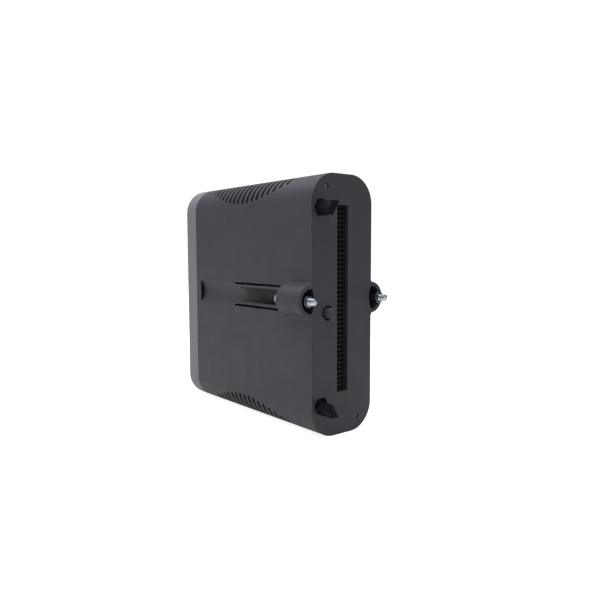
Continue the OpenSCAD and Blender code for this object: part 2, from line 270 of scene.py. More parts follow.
def ring_lathe(name, profile, y=0.0, z=0.0, n=48, smooth=None):
    """Closed profile turned into a ring."""
    rings = [[(x, y + r * math.cos(2 * PI * i / n), z + r * math.sin(2 * PI * i / n)) for x, r in profile] for i in range(n)]
    return make(name, *loft(rings, caps=False, loop=True), smooth)


def arc(cx, cy, r, a0, a1, n):
    return [(cx + r * math.cos(math.radians(a0 + (a1 - a0) * i / n)), cy + r * math.sin(math.radians(a0 + (a1 - a0) * i / n))) for i in range(n + 1)]


def mirror_ring(ring, s):
    return ring if s > 0 else [(x, -y, z) for x, y, z in ring]


# ------------------------------------------------------------------ housing
def vent_cutters():
    """Slots that follow the rounded edge, with round ends and a broken rim."""
    objs = []
    arc_len = CR * PI / 2
    flat = 2 * (HY - CR)
    total = 2 * arc_len + flat

    def at(s, depth):
        """Point at s along the top outline from the -Y tangent, pushed in by depth."""
        if s < arc_len:
            a = s / CR
            return (-(HY - CR) - (CR - depth) * math.cos(a), Z1 - CR + (CR - depth) * math.sin(a))
        if s > arc_len + flat:
            a = (total - s) / CR
            return ((HY - CR) + (CR - depth) * math.cos(a), Z1 - CR + (CR - depth) * math.sin(a))
        return (-(HY - CR) + s - arc_len, Z1 - depth)

    for top in (1, 0):
        for n in range(-8, 9):
            xc = -66 + 4.85 * n
            s0 = 2.5 + (4.85 * n) ** 2 / 154
            w = 1.16
            a, b = s0, total - s0
            # stations: round ends with radius re
            re = 0.62
            st = []
            for i in range(7):
                t = math.radians(90 * i / 6)
                st.append((a + re * (1 - math.sin(t)) if False else a + re * (1 - math.cos(t)), w - re * (1 - math.sin(t))))
            m = 44
            for i in range(1, m):
                st.append((a + re + (b - a - 2 * re) * i / m, w))
            st += [(b - (s - a), ww) for s, ww in st[:7]][::-1]
            rings = []
            for k, (s, ww) in enumerate(st):
                ring = []
                for x, d in ((-ww - 1.0, -0.82), (-ww - 0.18, 0.0), (-ww, 0.18), (-ww, 3.4), (ww, 3.4), (ww, 0.18), (ww + 0.18, 0.0), (ww + 1.0, -0.82)):
                    # the rim's flare also runs along the slot at its two ends
                    ss = s
                    if k < 7:
                        ss = s - max(0.18 - d, 0) * math.cos(math.radians(90 * k / 6))
                    elif k >= len(st) - 7:
                        ss = s + max(0.18 - d, 0) * math.cos(math.radians(90 * (len(st) - 1 - k) / 6))
                    y, z = at(max(ss, -5), d)
                    if ss < 0:
                        y, z = -(HY - d), Z1 - CR + ss
                    if ss > total:
                        y, z = HY - d, Z1 - CR - (ss - total)
                    if not top:
                        z = 2 * ZM - z
                    ring.append((xc + x, y, z))
                rings.append(ring)
            objs.append(prism("vc", rings))
    return objs


def boss_profile(R, rf=1.2, n=40):
    """(y, z) outline of a boss on the +Y face, root fillets included."""
    zc = math.sqrt((R + rf) ** 2 - rf ** 2)
    a_t = math.degrees(math.atan2(-zc, -rf))          # towards the boss's centre
    up = arc(HY + rf, zc, rf, 180, 360 + a_t, 7)      # from the face to the boss
    th = math.degrees(math.atan2(zc, rf))
    crown = arc(HY, 0, R, th, -th, n)
    low = [(y, -z) for y, z in up[::-1]]
    return [(HY - 1.5, zc + 0.03)] + up + crown[1:-1] + low + [(HY - 1.5, -zc - 0.03)]


def bore_profile(d=0.0, n=36, mouth=True):
    """(y, z) outline of the hollow inside a boss."""
    r1 = BORE_R + d
    r2, cy = (MOUTH_R + d, HY - MOUTH_D + MOUTH_R) if mouth else (CH_R + d, CH_Y)
    up = arc(HY + 0.004, 0, r1, 90, -90, n)
    half = math.asin(min(1.0, (math.sqrt(r2 * r2 - (cy - HY) ** 2)) / r2))
    low = arc(cy, 0, r2, 180 + math.degrees(half) * 1.0, 180 - math.degrees(half), n)
    return up + low


def build_housing():
    h = slab("housing_moulding", [(SEAM_F, 0.3), (SEAM_F + 0.12, 0.1), (SEAM_F + 0.32, 0), (-0.5, 0), (-0.26, 0.07), (-0.08, 0.22), (0, 0.45)])
    boolean(h, [slab("t", [(SEAM_F - 1, WALL), (-END, WALL)])])
    add = []
    for s in (1, -1):
        rings = []
        for x, R in ((-BOSS_L, BOSS_R - 0.3), (-BOSS_L + 0.1, BOSS_R - 0.08), (-BOSS_L + 0.3, BOSS_R)):
            rings.append([(x, y, z) for y, z in boss_profile(R)])
        for x, R in ((-0.4, BOSS_R), (-0.12, BOSS_R - 0.1), (0.0, BOSS_R - 0.35)):
            rings.append([(x, y, z) for y, z in boss_profile(R)])
        add.append(prism("a", [mirror_ring(r, s) for r in rings]))
        # backing of the channel
        hb_ = math.degrees(math.acos((CH_Y - (HY - 1)) / (CH_R + 2)))
        seg = arc(CH_Y, 0, CH_R + 2, 180 + hb_, 180 - hb_, 24)
        add.append(prism("a", [mirror_ring([(x, y, z) for y, z in seg], s) for x in (SEAM_F + 0.4, -END + 0.3)]))
        lo, hi = (-70, HY - 9.2, -5.7), (-28.6, HY - 1, 5.7)
        if s < 0:
            lo, hi = (lo[0], -hi[1], lo[2]), (hi[0], -lo[1], hi[2])
        add.append(box("a", lo, hi, 0.8, "y"))
        # guide ribs in pairs along the top and bottom walls
    for y in (2.6 - 1.4, 2.6 + 1.8):
        add.append(box("a", (SEAM_F + 6, y, Z1 - WALL - 5), (-END + 0.3, y + 1.2, Z1 - WALL + 0.5)))
        add.append(box("a", (SEAM_F + 6, y, Z0 + WALL - 0.5), (-END + 0.3, y + 1.2, Z0 + WALL + 5)))
    for z in KEY_Z:
        add.append(lathe("a", [(-12, 5.7), (-11.7, 6), (-END + 0.3, 6)], KEY_Y, z, 40))
    boolean(h, add, "UNION")
    cut = []
    # slot round the connector
    def slot_ring(x, d):
        return [(x, y - 0.2, z) for y, z in rr(3.9 + d, 51.5 + d, 0.45 + d, 0, 5)]
    cut.append(prism("c", [slot_ring(1, 1.28), slot_ring(0, 0.28), slot_ring(-0.1, 0.1), slot_ring(-0.28, 0), slot_ring(-END - 1, 0)]))
    for z in KEY_Z:
        def hexr(x, r):
            return [(x, KEY_Y + r * math.cos(math.radians(60 * i)), z + r * math.sin(math.radians(60 * i))) for i in range(6)]
        cut.append(prism("c", [hexr(1, 6.0), hexr(0, 5.0), hexr(-0.3, 4.7), hexr(-10.6, 4.7)]))
    cut.append(lathe("c", [(1, 5.25), (0, 4.25), (-0.12, 4.02), (-0.35, 3.9), (-END - 1, 3.9)], PL_Y, PL_Z, 48))
    for y, z in FS:
        cut.append(lathe("c", [(1, 2.65), (0, 1.65), (-0.2, 1.45), (-2, 1.45), (-2, 1.1), (-END - 1, 1.1)], y, z, 32))
    for s in (1, -1):
        # tool channel along the face
        a2 = 100
        full = arc(CH_Y, 0, CH_R, 0, 360, a2)[:-1]
        cut.append(prism("c", [mirror_ring([(x, y, z) for y, z in full], s) for x in (-CH_L, -BOSS_L)]))
        # undercut at its far end
        hh = math.degrees(math.acos((CH_Y - (HY - 0.7)) / CH_R))
        seg = arc(CH_Y, 0, CH_R, 180 + hh, 180 - hh, 24)
        cut.append(prism("c", [mirror_ring([(x, y, z) for y, z in seg], s) for x in (-CH_L - 4.2, -CH_L + 0.1)]))
        # hollow of the boss, in front of and behind the shoulder
        cut.append(prism("c", [mirror_ring([(x, y, z) for y, z in bore_profile(d)], s) for x, d in ((-14, 0), (-0.35, 0), (-0.1, 0.1), (0, 0.3), (1, 1.3))]))
        cut.append(prism("c", [mirror_ring([(x, y, z) for y, z in bore_profile(0, 36, False)], s) for x in (-BOSS_L - 10, -18)]))
        cut.append(lathe("c", [(-20, 3.1), (-18, 3.1), (-17.7, 2.8), (-14.3, 2.8), (-14, 3.1), (-12, 3.1)], s * STUD_Y, 0, 48))
        # pocket, running down smoothly from the channel's floor
        rings = []
        for zz, dd in ((-4.5, 0.3), (-4.42, 0.12), (-4.25, 0), (4.25, 0), (4.42, 0.12), (4.5, 0.3)):
            ring = [(-30 - dd, HY + 1), (-69.8, HY + 1)]
            for k in range(25):
                u = k / 24
                dep = CH_D - 0.3 + (8.3 - CH_D) * (3 * u * u - 2 * u * u * u)
                ring.append((min(-69.8 + 24.8 * u, -30 - dd), HY - dep + dd))
            ring += [(-31.2, HY - 8 + dd), (-30.5, HY - 7.8 + dd), (-30.15 - dd * 0.7, HY - 7.4 + dd), (-30 - dd, HY - 6.8)]
            rings.append([(x, y, zz) for x, y in ring])
        cut.append(prism("c", [mirror_ring(r, s) for r in rings]))
        for sz in (1, -1):
            zc = 6.75 * sz
            def sr(y, d):
                out = []
                cx = -49.75
                for p, q in rr(25.75 + d, 0.65 + d, 0.55 + d, 0, 6):
                    out.append((cx + p, s * y, zc + q))
                return out
            cut.append(prism("c", [sr(HY + 1.0, 0.12), sr(HY, 0.12), sr(HY - 0.12, 0), sr(HY - 5, 0)]))
    boolean(h, cut)
    bad = open_edges(h)
    v = join("vents", vent_cutters())
    print("vent cutter open edges", open_edges(v))
    boolean(h, [v])
    print("housing open edges", bad, open_edges(h), "faces", len(h.data.polygons))
    return h


# ------------------------------------------------------------------ front cover
def build_cover():
    r = 3.0
    st = []
    for i in range(13):
        a = math.radians(90 * i / 12)
        st.append((BACK + r * (1 - math.sin(a)), r * (1 - math.cos(a))))
    st = [(x, d) for x, d in reversed(st)]
    # from the rim (inset r at the far face) to the seam
    st = sorted(set((round(x, 5), round(d, 5)) for x, d in st))
    rings = st + [(SEAM_B - 0.34, 0), (SEAM_B - 0.12, 0.1), (SEAM_B, 0.3)]
    c = slab("front_cover_moulding", rings)
    lip = slab("l", [(SEAM_B - 1, WALL + 0.2), (SEAM_F + 3.6, WALL + 0.2), (SEAM_F + 4, WALL + 0.55)])
    boolean(lip, [box("k", (SEAM_B, -30, -14), (SEAM_F + 6, 30, 14))])
    boolean(c, [lip], "UNION")
    cut = [slab("k", [(BACK + 2.3, WALL + 2.4), (BACK + 2.9, WALL + 1.7), (SEAM_B + 6, WALL + 1.7)])]
    def pr(x, d):
        return [(x, y, z - 9) for y, z in rr(13 + d, 31 + d, 2.0 + d, 0, 10)]
    cut.append(prism("k", [pr(BACK - 1, 0.4), pr(BACK, 0.4), pr(BACK + 0.12, 0.12), pr(BACK + 0.4, 0)]))
    for z in LED_Z:
        cut.append(lathe("k", [(BACK - 1, 2.0), (BACK, 1.95), (BACK + 0.3, 1.6), (BACK + 5, 1.6)], LED_Y, z, 40))
    boolean(c, cut)
    print("cover open edges", open_edges(c))
    return c


# ------------------------------------------------------------------ connector
def build_connector():
    p = 2.54
    xf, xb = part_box("connector_body")[1].x * 1000, -12.2
    nx, nz = 2, 40
    v, f = [], []
    seg = 16
    def circ(r, x, cy, cz, square=0.0):
        out = []
        for i in range(seg):
            a = 2 * PI * i / seg
            c, s = math.cos(a), math.sin(a)
            if square:
                m = max(abs(c), abs(s))
                c, s = c / m * square, s / m * square
                out.append((x, cy + c, cz + s))
            else:
                out.append((x, cy + r * c, cz + r * s))
        return out
    for iy in range(nx):
        for iz in range(nz):
            cy, cz = (iy - 0.5) * p, (iz - 19.5) * p
            base = len(v)
            loops = [circ(1.2, xf, cy, cz), circ(1.13, xf - 0.12, cy, cz), circ(0, xf - 0.55, cy, cz, 0.78), circ(0, xf - 1.9, cy, cz, 0.78), circ(0, xf - 2.3, cy, cz, 0.5), circ(0, xb, cy, cz, 0.5)]
            for lp in loops:
                v += lp
            for k in range(len(loops) - 1):
                for i in range(seg):
                    j = (i + 1) % seg
                    f.append((base + k * seg + i, base + k * seg + j, base + (k + 1) * seg + j, base + (k + 1) * seg + i))
            h = p / 2
            for x, k in ((xf, 0), (xb, len(loops) - 1)):
                b2 = len(v)
                v += [(x, cy + h, cz), (x, cy + h, cz + h), (x, cy, cz + h), (x, cy - h, cz + h), (x, cy - h, cz), (x, cy - h, cz - h), (x, cy, cz - h), (x, cy + h, cz - h)]
                for q in range(4):
                    inner = [base + k * seg + (q * 4 + i) % seg for i in range(5)]
                    outer = [b2 + (2 * q) % 8, b2 + (2 * q + 1) % 8, b2 + (2 * q + 2) % 8]
                    f.append(tuple(outer + inner[::-1]))
    # outer sides, between the front and the back grid lines
    ys = [-p, -p / 2, 0, p / 2, p]
    zs = [(-20 + 0.5 * k) * p for k in range(81)]
    def side(pts):
        for a, b in zip(pts, pts[1:]):
            n = len(v)
            v.extend([(xf, *a), (xf, *b), (xb, *b), (xb, *a)])
            f.append((n, n + 1, n + 2, n + 3))
    side([(-p, z) for z in zs])
    side([(p, z) for z in zs])
    side([(y, zs[0]) for y in ys])
    side([(y, zs[-1]) for y in ys])
    blk = make("connector_block", v, f)
    fix_normals(blk.data, 2e-6)
    print("connector open edges", open_edges(blk))
    ring = box("fl", (-5.8, -5.3, -52.7), (-3.8, 5.3, 52.7), 0.8, "x")
    hole = box("flh", (-7, -2.45, -50.7), (-3, 2.45, 50.7))
    notch = box("flh", (-7, -5.8, PL_Z - 6.6), (-3, -2.64, PL_Z + 6.6))
    boolean(ring, [hole, notch])
    boolean(blk, [ring], "UNION")
    print("connector open edges after flange", open_edges(blk))
    return blk


# ------------------------------------------------------------------ captive screws
def build_screw(name, s, back):
    n = 96
    xr, xh = -22.6, -19.0            # rear of the head, underside of the head
    hexc = lambda rc: (lambda t: rc * math.cos(PI / 6) / math.cos((t % (PI / 3)) - PI / 6))
    circ = lambda r: (lambda t: r)
    prof = [(xr + 2.15, circ(0.0)), (xr + 2.4, lambda t: hexc(1.75)(t) * 0.75), (xr + 2.4, hexc(1.75)), (xr + 0.25, hexc(1.75)),
            (xr, circ(1.95)), (xr, circ(2.6)), (xr + 0.1, circ(2.86)), (xr + 0.4, circ(3.06))]
    def knurl(depth):
        return lambda t: 3.2 - depth * (0.5 - 0.5 * math.cos(32 * t)) ** 0.7
    prof.append((xr + 0.52, knurl(0.1)))
    for i in range(5):
        prof.append((xr + 0.62 + i * 0.5, knurl(0.2)))
    prof += [(xh - 0.72, circ(3.05)), (xh - 0.5, circ(3.2)), (xh - 0.12, circ(3.2)), (xh, circ(3.05)), (xh, circ(2.0)), (xh + 0.1, circ(1.84)), (xh + 0.25, circ(1.8))]
    for x in (-17, -14, -11, -8, -5, -2, 0.5):
        prof.append((x, circ(1.8)))
    prof += [(3.08, circ(1.8)), (3.2, circ(1.7)), (3.2, circ(1.6)), (4.1, circ(1.6)), (4.1, circ(1.68))]
    # thread, 0.7 pitch
    x = 4.12
    while x <= 8.95:
        nose = 2.0 if x < 8.1 else 2.0 - 1.1 * ((x - 8.1) / 0.9) ** 1.7
        env = min(nose, 1.68 + max(0.0, x - 4.1) * 1.2)
        def thr(t, x=x, env=env):
            ph = ((x - t / (2 * PI) * 0.7) / 0.7) % 1.0
            tri = abs(ph - 0.5) * 2
            ridge = min(1.0, max(0.0, (tri - 0.06) / 0.74))
            return min(env, 1.66 + 0.34 * ridge)
        prof.append((x, thr))
        x += 0.046
    prof += [(8.97, circ(0.86)), (9.0, circ(0.6)), (9.0, circ(0.0))]
    v, f, idx = [], [], []
    for x, fn in prof:
        rs = [fn(2 * PI * i / n) for i in range(n)]
        if max(rs) < 1e-6:
            idx.append([len(v)] * n)
            v.append((x - back, s * STUD_Y, 0))
        else:
            idx.append(list(range(len(v), len(v) + n)))
            v += [(x - back, s * STUD_Y + r * math.cos(2 * PI * i / n), r * math.sin(2 * PI * i / n)) for i, r in enumerate(rs)]
    for a, b in zip(idx, idx[1:]):
        for i in range(n):
            j = (i + 1) % n
            q = []
            for t in (a[i], a[j], b[j], b[i]):
                if t not in q:
                    q.append(t)
            if len(q) >= 3:
                f.append(tuple(q))
    return make(name, v, f, 38)


def build_clip(name, s, back):
    """Snap-on retaining ring, open at the top."""
    x0, x1 = 3.22 - back, 4.08 - back
    def c_shape(ro, ri, gap):
        go, gi = math.degrees(math.asin(gap / ro)), math.degrees(math.asin(gap / ri))
        return arc(0, 0, ro, 90 + go, 450 - go, 60) + arc(0, 0, ri, 450 - gi, 90 + gi, 40)
    rings = []
    for x, d in ((x0, 0.1), (x0 + 0.04, 0.03), (x0 + 0.1, 0.0), (x1 - 0.1, 0.0), (x1 - 0.04, 0.03), (x1, 0.1)):
        rings.append([(x, s * STUD_Y + y, z) for y, z in c_shape(3.2 - d, 1.63 + d * 0.5, 0.5 + d)])
    return make(name, *loft(rings), 40)


def build_washer(name, s, back):
    x0, x1 = -18.98 - back, -18.02 - back
    prof = [(x0 + 0.15, 1.88), (x0, 2.05), (x0, 3.66), (x0 + 0.08, 3.83), (x0 + 0.25, 3.9), (x1 - 0.25, 3.9), (x1 - 0.08, 3.83), (x1, 3.66), (x1, 2.05), (x1 - 0.15, 1.88)]
    return ring_lathe(name, prof, s * STUD_Y, 0, 64, 40)


# ------------------------------------------------------------------ coding keys
def build_key(name, z, ang):
    nrm = (math.cos(math.radians(ang)), math.sin(math.radians(ang)))

    def hexp(r):
        return [(r * math.cos(math.radians(60 * i)), r * math.sin(math.radians(60 * i))) for i in range(6)]

    def half(r):
        out, h = [], hexp(r)
        for i in range(6):
            a, b = h[i], h[(i + 1) % 6]
            da, db = a[0] * nrm[0] + a[1] * nrm[1] - 0.5, b[0] * nrm[0] + b[1] * nrm[1] - 0.5
            if da <= 0:
                out.append(a)
            if da * db < 0:
                t = da / (da - db)
                out.append((a[0] + t * (b[0] - a[0]), a[1] + t * (b[1] - a[1])))
        return out

    full = prism(name, [[(x, KEY_Y + y, z + q) for y, q in hexp(4.3)] for x in (-10.2, -2.4)])
    bevel(full, 0.3, 2, 25)
    foot = prism("p", [[(x, KEY_Y + y, z + q) for y, q in half(4.3)] for x in (-3.4, 0.4)])
    bevel(foot, 0.25, 2, 25)
    post = prism("p", [[(x, KEY_Y + y, z - 0.7 + q) for y, q in half(4.4)] for x in (-0.2, 11.0)])
    bevel(post, 0.32, 3, 25)
    boolean(full, [foot, post], "UNION")
    shade(full, 40, True)
    print(name, "open edges", open_edges(full))
    return full


# ------------------------------------------------------------------ other turned pieces
def build_plunger():
    p = plo = [(3.75, 0.0), (3.75, 1.0), (3.85, 1.25), (4.0, 1.45), (4.0, 1.95), (3.92, 2.2), (3.02, 2.93), (2.8, 3.05), (-3.6, 3.05), (-3.85, 3.25), (-3.85, 4.4), (-4.05, 4.6), (-5.4, 4.6), (-5.6, 4.4), (-5.6, 1.7), (-5.9, 1.5), (-25.4, 1.5), (-26, 0.9), (-26, 0.0)]
    return lathe("plunger_pin", p, PL_Y, PL_Z, 64, 38)


def build_spring():
    turns, x0, x1, R, rw = 7.0, -21.8, -5.8, 3.5, 0.45
    a = x0 + rw
    b = x1 - rw
    ring_n, per = 12, 36
    pts = []
    total = int(per * (turns + 1.6))
    for k in range(total + 1):
        t = k / per                     # turns done
        if t < 0.8:
            x = a + 2 * rw * 0.55 * t / 0.8 * 1.0
        elif t > turns + 0.8:
            x = b - 2 * rw * 0.55 * (turns + 1.6 - t) / 0.8
        else:
            x = a + rw * 1.1 + (b - a - 2.2 * rw) * (t - 0.8) / turns
        th = 2 * PI * t
        pts.append((x, R * math.cos(th), R * math.sin(th)))
    rings = []
    for k, c in enumerate(pts):
        c0, c1 = pts[max(k - 1, 0)], pts[min(k + 1, len(pts) - 1)]
        tan = Vector((c1[0] - c0[0], c1[1] - c0[1], c1[2] - c0[2])).normalized()
        rad = Vector((0, c[1], c[2])).normalized()
        bi = tan.cross(rad).normalized()
        cc = Vector((c[0], PL_Y + c[1], PL_Z + c[2]))
        rings.append([tuple(cc + rad * (rw * math.cos(2 * PI * i / ring_n)) + bi * (rw * math.sin(2 * PI * i / ring_n))) for i in range(ring_n)])
    return make("plunger_coil", *loft(rings), 50)


def build_face_screws():
    objs = []
    for y, z in FS:
        prof = [(-1.55, 0.0), (-1.6, 0.5), (-1.0, 0.6), (-0.92, 0.72), (-0.9, 0.95), (-0.98, 1.15), (-1.15, 1.27), (-1.4, 1.3), (-2.0, 1.3), (-2.0, 0.96)]
        x = -2.1
        while x > -10:
            prof.append((x, 0.96))
            x -= 0.2
            prof.append((x, 0.8))
            x -= 0.2
        prof += [(-10.2, 0.8), (-10.5, 0.45), (-10.5, 0.0)]
        objs.append(lathe("fs", prof, y, z, 36))
    o = join("end_face_screw_pair", objs)
    shade(o, 40)
    return o


def build_lenses():
    objs = []
    for z in LED_Z:
        prof = [(BACK, 0.0), (BACK + 0.04, 0.5), (BACK + 0.15, 1.0), (BACK + 0.32, 1.35), (BACK + 0.5, 1.5), (BACK + 3.9, 1.5), (BACK + 4.0, 1.4), (BACK + 4.0, 1.3), (-117.5, 1.3), (-117.4, 1.2), (-117.4, 0.0)]
        objs.append(lathe("ln", prof, LED_Y, z, 40))
    o = join("indicator_light_guides", objs)
    shade(o, 40)
    return o


# ------------------------------------------------------------------ materials
class Mat:
    def __init__(self, name):
        self.m = bpy.data.materials.new(name)
        self.m.use_nodes = True
        self.nt = self.m.node_tree
        self.nt.nodes.clear()
        self.out = self.nt.nodes.new("ShaderNodeOutputMaterial")
        self.b = self.nt.nodes.new("ShaderNodeBsdfPrincipled")
        self.link(self.b.outputs[0], self.out.inputs[0])
        self.tc = self.nt.nodes.new("ShaderNodeTexCoord")

    def link(self, a, b):
        self.nt.links.new(a, b)

    def co(self, scale=(1, 1, 1), rot=(0, 0, 0)):
        n = self.nt.nodes.new("ShaderNodeMapping")
        n.inputs["Scale"].default_value = scale
        n.inputs["Rotation"].default_value = rot
        self.link(self.tc.outputs["Object"], n.inputs["Vector"])
        return n.outputs[0]

    def noise(self, scale, detail=3.0, rough=0.55, co=None, distort=0.0):
        n = self.nt.nodes.new("ShaderNodeTexNoise")
        n.inputs["Scale"].default_value = scale
        n.inputs["Detail"].default_value = detail
        n.inputs["Roughness"].default_value = rough
        n.inputs["Distortion"].default_value = distort
        self.link(co or self.co(), n.inputs["Vector"])
        return n.outputs["Fac"]

    def voronoi(self, scale, feature="F1", co=None):
        n = self.nt.nodes.new("ShaderNodeTexVoronoi")
        n.feature = feature
        n.inputs["Scale"].default_value = scale
        self.link(co or self.co(), n.inputs["Vector"])
        return n.outputs["Distance"]

    def ramp(self, fac, a, b, lo=0.0, hi=1.0):
        """Value a to b as fac goes lo to hi."""
        n = self.nt.nodes.new("ShaderNodeMapRange")
        n.inputs["From Min"].default_value = lo
        n.inputs["From Max"].default_value = hi
        n.inputs["To Min"].default_value = a
        n.inputs["To Max"].default_value = b
        self.link(fac, n.inputs["Value"])
        return n.outputs[0]

    def mix(self, fac, a, b):
        n = self.nt.nodes.new("ShaderNodeMix")
        n.data_type = "RGBA"
        self.link(fac, n.inputs["Factor"])
        for v, k in ((a, "A"), (b, "B")):
            sock = [i for i in n.inputs if i.name == k and i.type == "RGBA"][0]
            if isinstance(v, tuple):
                sock.default_value = (*v, 1)
            else:
                self.link(v, sock)
        return [o for o in n.outputs if o.type == "RGBA"][0]

    def math(self, op, a, b):
        n = self.nt.nodes.new("ShaderNodeMath")
        n.operation = op
        for i, v in enumerate((a, b)):
            if isinstance(v, (int, float)):
                n.inputs[i].default_value = v
            else:
                self.link(v, n.inputs[i])
        return n.outputs[0]

    def bump(self, height, strength, dist_mm, normal=None):
        n = self.nt.nodes.new("ShaderNodeBump")
        n.inputs["Strength"].default_value = strength
        n.inputs["Distance"].default_value = dist_mm * MM
        self.link(height, n.inputs["Height"])
        if normal is not None:
            self.link(normal, n.inputs["Normal"])
        return n.outputs[0]

    def set(self, **k):
        names = {"color": "Base Color", "rough": "Roughness", "metal": "Metallic", "normal": "Normal", "spec": "Specular IOR Level", "ior": "IOR",
                 "sheen": "Sheen Weight", "sheen_r": "Sheen Roughness", "coat": "Coat Weight", "coat_r": "Coat Roughness", "trans": "Transmission Weight", "aniso": "Anisotropic"}
        for a, v in k.items():
            s = self.b.inputs[names[a]]
            if isinstance(v, tuple):
                s.default_value = (*v, 1)
            elif isinstance(v, (int, float)):
                s.default_value = v
            else:
                self.link(v, s)
        return self.m


def plastic(name, rgb, rough=0.55, spec=0.4, grain=1.0, var=0.06, strength=0.35, paint_pocket_shade=False):
    m = Mat(name)
    fine = m.noise(3200 * grain, 2.0, 0.6)
    pits = m.voronoi(2600 * grain, "SMOOTH_F1")
    tone = m.noise(38, 4.0, 0.6)
    grain_h = m.math("ADD", m.math("MULTIPLY", fine, 0.6), m.math("MULTIPLY", pits, 0.55))
    nrm = m.bump(grain_h, strength, 0.05)
    lo = tuple(c * (1 - var) for c in rgb)
    hi = tuple(min(1, c * (1 + var)) for c in rgb)
    col = m.mix(m.ramp(tone, 0, 1, 0.3, 0.7), lo, hi)
    # rubbed specks, a little lighter
    scuff = m.noise(420, 5.0, 0.7)
    col = m.mix(m.ramp(scuff, 0, 0.22, 0.62, 0.78), col, tuple(min(1, c * 1.5 + 0.01) for c in rgb))
    if paint_pocket_shade:
        # painted shade in the tool pockets, darker deeper in, low down and towards the deep end
        q = m.nt.nodes.new("ShaderNodeSeparateXYZ")
        m.link(m.tc.outputs["Object"], q.inputs[0])
        ay, az = m.math("ABSOLUTE", q.outputs[1], 0), m.math("ABSOLUTE", q.outputs[2], 0)
        pocket_shade_mask = m.ramp(ay, 0, 1, (HY - 1.3) * MM, (HY - 3.4) * MM)
        pocket_shade_mask = m.math("MULTIPLY", pocket_shade_mask, m.ramp(az, 1, 0, 4.52 * MM, 4.6 * MM))
        pocket_shade_mask = m.math("MULTIPLY", pocket_shade_mask, m.ramp(q.outputs[0], 0, 1, -71.5 * MM, -66.5 * MM))
        pocket_shade_mask = m.math("MULTIPLY", pocket_shade_mask, m.ramp(q.outputs[0], 1, 0, -29.9 * MM, -29.7 * MM))
        pocket_shade_mask = m.math("MULTIPLY", pocket_shade_mask, m.ramp(q.outputs[2], 0.97, 0.7, -2 * MM, 4.5 * MM))
        pocket_shade_mask = m.math("MULTIPLY", pocket_shade_mask, m.ramp(m.noise(300, 4.0, 0.6), 0.86, 1.0, 0.35, 0.6))
        # near-black colour of the painted pocket shade
        col = m.mix(pocket_shade_mask, col, (0.0010, 0.0010, 0.0030))
    r = m.ramp(m.noise(90, 5.0, 0.65), rough - 0.05, rough + 0.07, 0.3, 0.7)
    return m.set(color=col, rough=r, spec=spec, normal=nrm)


def metal(name, rgb, rough=0.28, scratch=(1, 1, 1), var=0.08, strength=0.2, dirt=0.0):
    m = Mat(name)
    m_co = m.co(scratch)
    streak = m.noise(1500, 3.0, 0.6, m_co)
    blot = m.noise(160, 4.0, 0.6)
    lo = tuple(c * (1 - var) for c in rgb)
    hi = tuple(min(1, c * (1 + var * 0.5)) for c in rgb)
    col = m.mix(m.ramp(blot, 0, 1, 0.3, 0.7), lo, hi)
    r = m.ramp(m.math("ADD", m.math("MULTIPLY", streak, 0.6), m.math("MULTIPLY", blot, 0.4)), rough * 0.7, rough * 1.35, 0.3, 0.7)
    nrm = m.bump(streak, strength, 0.012)
    return m.set(color=col, rough=r, metal=1.0, normal=nrm)


def rubber(name, rgb):
    m = Mat(name)
    n = m.noise(1800, 4.0, 0.6)
    col = m.mix(m.noise(120, 3.0), tuple(c * 0.8 for c in rgb), tuple(c * 1.25 for c in rgb))
    return m.set(color=col, rough=m.ramp(n, 0.7, 0.9, 0.3, 0.7), spec=0.25, normal=m.bump(n, 0.3, 0.03))


def lens(name):
    m = Mat(name)
    n = m.noise(500, 3.0, 0.5)
    col = m.mix(m.noise(60, 2.0), (0.52, 0.66, 0.54), (0.60, 0.74, 0.62))
    return m.set(color=col, rough=m.ramp(n, 0.12, 0.26, 0.3, 0.7), ior=1.49, trans=0.35, normal=m.bump(n, 0.08, 0.02))


def laminate(name):
    m = Mat(name)
    # copper tracks under the mask, as thin raised lines on a square lattice
    co = m.co((1, 1, 1))
    v = m.nt.nodes.new("ShaderNodeTexVoronoi")
    v.distance = "MANHATTAN"
    v.feature = "F1"
    v.inputs["Scale"].default_value = 260
    v.inputs["Randomness"].default_value = 0.85
    m.link(co, v.inputs["Vector"])
    cells = v.outputs["Distance"]
    w = m.nt.nodes.new("ShaderNodeTexWave")
    w.wave_type = "BANDS"
    w.bands_direction = "DIAGONAL"
    w.inputs["Scale"].default_value = 110
    w.inputs["Distortion"].default_value = 0.0
    m.link(co, w.inputs["Vector"])
    tracks = m.math("MULTIPLY", m.ramp(w.outputs["Fac"], 0, 1, 0.55, 0.62), m.ramp(cells, 1, 0, 0.42, 0.44))
    weave = m.noise(900, 2.0, 0.5)
    base = m.mix(m.ramp(weave, 0, 1, 0.3, 0.7), (0.006, 0.040, 0.020), (0.009, 0.055, 0.027))
    col = m.mix(tracks, base, (0.020, 0.105, 0.048))
    return m.set(color=col, rough=m.ramp(weave, 0.28, 0.42, 0.3, 0.7), spec=0.5, normal=m.bump(tracks, 0.5, 0.035))


def chip(name):
    m = Mat(name)
    n = m.noise(2600, 3.0, 0.6)
    col = m.mix(m.noise(140, 3.0), (0.012, 0.012, 0.014), (0.022, 0.022, 0.025))
    return m.set(color=col, rough=m.ramp(n, 0.45, 0.65, 0.3, 0.7), spec=0.4, normal=m.bump(n, 0.4, 0.03))


